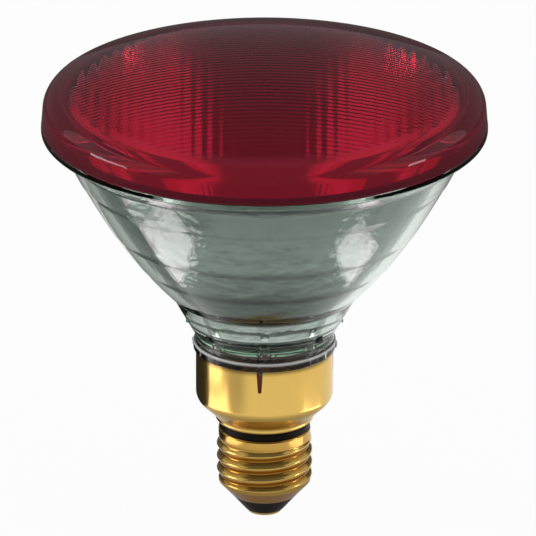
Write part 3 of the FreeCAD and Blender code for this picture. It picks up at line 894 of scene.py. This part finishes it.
def add_camera(stage):
    """The camera that sees the bulb as the photo does, set as the scene's camera."""
    data = bpy.data.cameras.new("camera")
    data.lens = stage.lens
    data.sensor_width = 36.0
    data.clip_end = 20.0
    camera = bpy.data.objects.new("camera", data)
    bpy.context.scene.collection.objects.link(camera)
    aim = Vector(stage.aim)
    back = Vector((0, -math.cos(stage.elevation), math.sin(stage.elevation)))
    camera.location = aim + back * stage.distance
    camera.rotation_euler = back.to_track_quat("Z", "Y").to_euler()
    bpy.context.scene.camera = camera


def rays_of_sight(nodes, links):
    """1 for rays from the camera, 1 for rays from a gloss or a glass, and 1 for those from a glass only."""
    path = nodes.new("ShaderNodeLightPath").outputs
    either = greater(nodes, links, path["Is Glossy Ray"], path["Is Transmission Ray"])
    return path["Is Camera Ray"], either, path["Is Transmission Ray"]


def floor_shade(nodes, links, in_glass):
    """How bright gloss and glass see the floor, with painted shade: a painted shadow under the bulb, and
    painted shade far off and at two places on its left.

    The painted shade at the back left darkens the edge of the brass, so glass sees most of the floor's white
    there.
    """
    away = object_radius(nodes, links)
    # Painted shadow under the bulb, and painted shade far off and at two places on its left, seen only by
    # gloss and glass
    painted_bulb_shadow = stepped(nodes, links, away, 0.015, 0.085, 0.4, 1.0)
    painted_far_shade = stepped(nodes, links, away, 0.13, 0.25, 1.0, 0.06)
    front_left = away_from(nodes, links, (-0.09, -0.085, 0.0))
    back_left = away_from(nodes, links, (-0.085, 0.077, 0.0))
    painted_front_left_shade = stepped(nodes, links, front_left, 0.015, 0.055, 0.6, 1.0)
    painted_back_left_shade = stepped(nodes, links, back_left, 0.056, 0.07, 0.02, 1.0)
    painted_back_left_shade = greater(nodes, links, painted_back_left_shade, multiplied(nodes, links, in_glass, 0.65))
    shade = multiplied(nodes, links, painted_bulb_shadow, painted_far_shade)
    for part in (painted_front_left_shade, painted_back_left_shade):
        shade = multiplied(nodes, links, shade, part)
    return shade


def add_floor():
    """A pale floor that looks white and keeps the bulb's soft shadow."""
    half = 3.0
    corners = [(-half, -half, 0), (half, -half, 0), (half, half, 0), (-half, half, 0)]
    mesh = bpy.data.meshes.new("floor")
    mesh.from_pydata(corners, [], [(0, 1, 2, 3)])
    floor = bpy.data.objects.new("floor", mesh)
    bpy.context.scene.collection.objects.link(floor)
    material, nodes, links, shader, output = new_material("pale floor")
    shader.inputs["Roughness"].default_value = 0.8
    glow = nodes.new("ShaderNodeEmission")
    glow.inputs["Strength"].default_value = 1.0
    camera, mirrored, in_glass = rays_of_sight(nodes, links)
    seen = multiplied(nodes, links, mirrored, floor_shade(nodes, links, in_glass))
    share = multiplied(nodes, links, greater(nodes, links, camera, seen), 0.96)
    pale = mixed_colour(nodes, links, mirrored, (0.85, 0.85, 0.85), (0.0, 0.0, 0.0))
    links.new(pale, shader.inputs["Base Color"])
    mix = nodes.new("ShaderNodeMixShader")
    links.new(share, mix.inputs["Fac"])
    links.new(shader.outputs["BSDF"], mix.inputs[1])
    links.new(glow.outputs["Emission"], mix.inputs[2])
    links.new(mix.outputs["Shader"], output.inputs["Surface"])
    mesh.materials.append(material)


def light_world(stage):
    """A world that is white to the camera and dim to gloss and glass, and lights the bulb evenly."""
    world = bpy.data.worlds.new("studio")
    world.use_nodes = True
    nodes, links = world.node_tree.nodes, world.node_tree.links
    background = nodes["Background"]
    background.inputs["Color"].default_value = (1.0, 1.0, 1.0, 1.0)
    camera, mirrored = rays_of_sight(nodes, links)[:2]
    dim = nodes.new("ShaderNodeMix")
    dim.inputs[2].default_value = 0.55
    dim.inputs[3].default_value = stage.overhead
    links.new(mirrored, dim.inputs["Factor"])
    links.new(greater(nodes, links, camera, dim.outputs[0]), background.inputs["Strength"])
    bpy.context.scene.world = world


def add_softbox(name, place, target, width, height, strength, colour=(1.0, 1.0, 1.0)):
    """An area lamp that looks at a target."""
    data = bpy.data.lights.new(name, "AREA")
    data.shape = "RECTANGLE"
    data.size = width
    data.size_y = height
    data.energy = strength
    data.color = colour
    lamp = bpy.data.objects.new(name, data)
    lamp.location = place
    lamp.rotation_euler = (Vector(place) - Vector(target)).to_track_quat("Z", "Y").to_euler()
    bpy.context.scene.collection.objects.link(lamp)


def add_lights(stage):
    """Two wide softboxes, low panels whose light the film mirrors beside the middle, and two strip lights."""
    middle = (0.0, 0.0, 0.07)
    for name, x in (("left softbox", -1.0), ("right softbox", 1.0)):
        add_softbox(name, (x, -0.05, 0.5), middle, 1.55, 0.8, stage.key)
    panels = (
        ("left panel", -0.08, -0.018, 0.038, 0.066),
        ("far left panel", -0.128, -0.012, 0.03, 0.06),
        ("right panel", 0.0745, -0.012, 0.026, 0.055),
    )
    for name, x, y, width, depth in panels:
        power = stage.panel * width * depth
        add_softbox(name, (x, y, 0.001), (x, y, 1.0), width, depth, power, (1.0, 0.82, 0.9))
    strips = (
        ("left strip light", -0.8, -0.1, 0.34),
        ("right strip light", 0.8, -0.14, 0.16),
    )
    height = 0.12
    for name, x, y, width in strips:
        power = stage.panel * 4 * width * height
        add_softbox(name, (x, y, 0.1), (0.0, -0.05, 0.12), width, height, power)


class HEATLAMP_OT_lens(Operator):
    """Build the ruby glass lens with its stippled inside"""

    bl_idname = "heat_lamp.lens"
    bl_label = "Lens"

    def execute(self, context):
        build_lens(*settings())
        return {"FINISHED"}


class HEATLAMP_OT_reflector(Operator):
    """Build the pressed glass bowl and the mirror film inside it"""

    bl_idname = "heat_lamp.reflector"
    bl_label = "Reflector"

    def execute(self, context):
        glass, colours = settings()[:2]
        build_bowl(colours)
        build_film(glass, colours)
        return {"FINISHED"}


class HEATLAMP_OT_cap(Operator):
    """Finish the screw cap in brass, black glass and solder"""

    bl_idname = "heat_lamp.cap"
    bl_label = "Screw cap"

    def execute(self, context):
        dress_cap(settings()[1])
        return {"FINISHED"}


class HEATLAMP_OT_inside(Operator):
    """Finish the filament, its posts and the wires in the cap"""

    bl_idname = "heat_lamp.inside"
    bl_label = "Inner parts"

    def execute(self, context):
        dress_inside()
        return {"FINISHED"}


class HEATLAMP_OT_stage(Operator):
    """Set the camera, the pale floor and the soft lights"""

    bl_idname = "heat_lamp.stage"
    bl_label = "Stage"

    def execute(self, context):
        stage = settings()[2]
        add_camera(stage)
        add_floor()
        light_world(stage)
        add_lights(stage)
        context.scene.view_settings.view_transform = "Standard"
        return {"FINISHED"}


class HEATLAMP_PT_panel(Panel):
    """The bulb's operators and values, in the 3D view's sidebar"""

    bl_idname = "HEATLAMP_PT_panel"
    bl_label = "Heat lamp bulb"
    bl_space_type = "VIEW_3D"
    bl_region_type = "UI"
    bl_category = "Heat lamp"

    def draw(self, context):
        layout = self.layout
        for operator in OPERATORS:
            layout.operator(operator.bl_idname)
        for group in settings():
            for name in group.bl_rna.properties.keys():
                if name not in ("rna_type", "name"):
                    layout.prop(group, name)


OPERATORS = (HEATLAMP_OT_stage, HEATLAMP_OT_lens, HEATLAMP_OT_reflector, HEATLAMP_OT_cap, HEATLAMP_OT_inside)
CLASSES = (GlassSizes, Colours, StageSettings, *OPERATORS, HEATLAMP_PT_panel)


def register():
    for cls in CLASSES:
        bpy.utils.register_class(cls)
    bpy.types.Scene.heat_lamp_glass = PointerProperty(type=GlassSizes)
    bpy.types.Scene.heat_lamp_colours = PointerProperty(type=Colours)
    bpy.types.Scene.heat_lamp_stage = PointerProperty(type=StageSettings)


def unregister():
    del bpy.types.Scene.heat_lamp_stage
    del bpy.types.Scene.heat_lamp_colours
    del bpy.types.Scene.heat_lamp_glass
    for cls in reversed(CLASSES):
        bpy.utils.unregister_class(cls)


def main():
    register()
    bpy.ops.heat_lamp.stage()
    bpy.ops.heat_lamp.lens()
    bpy.ops.heat_lamp.reflector()
    bpy.ops.heat_lamp.cap()
    bpy.ops.heat_lamp.inside()


if __name__ == "__main__":
    main()
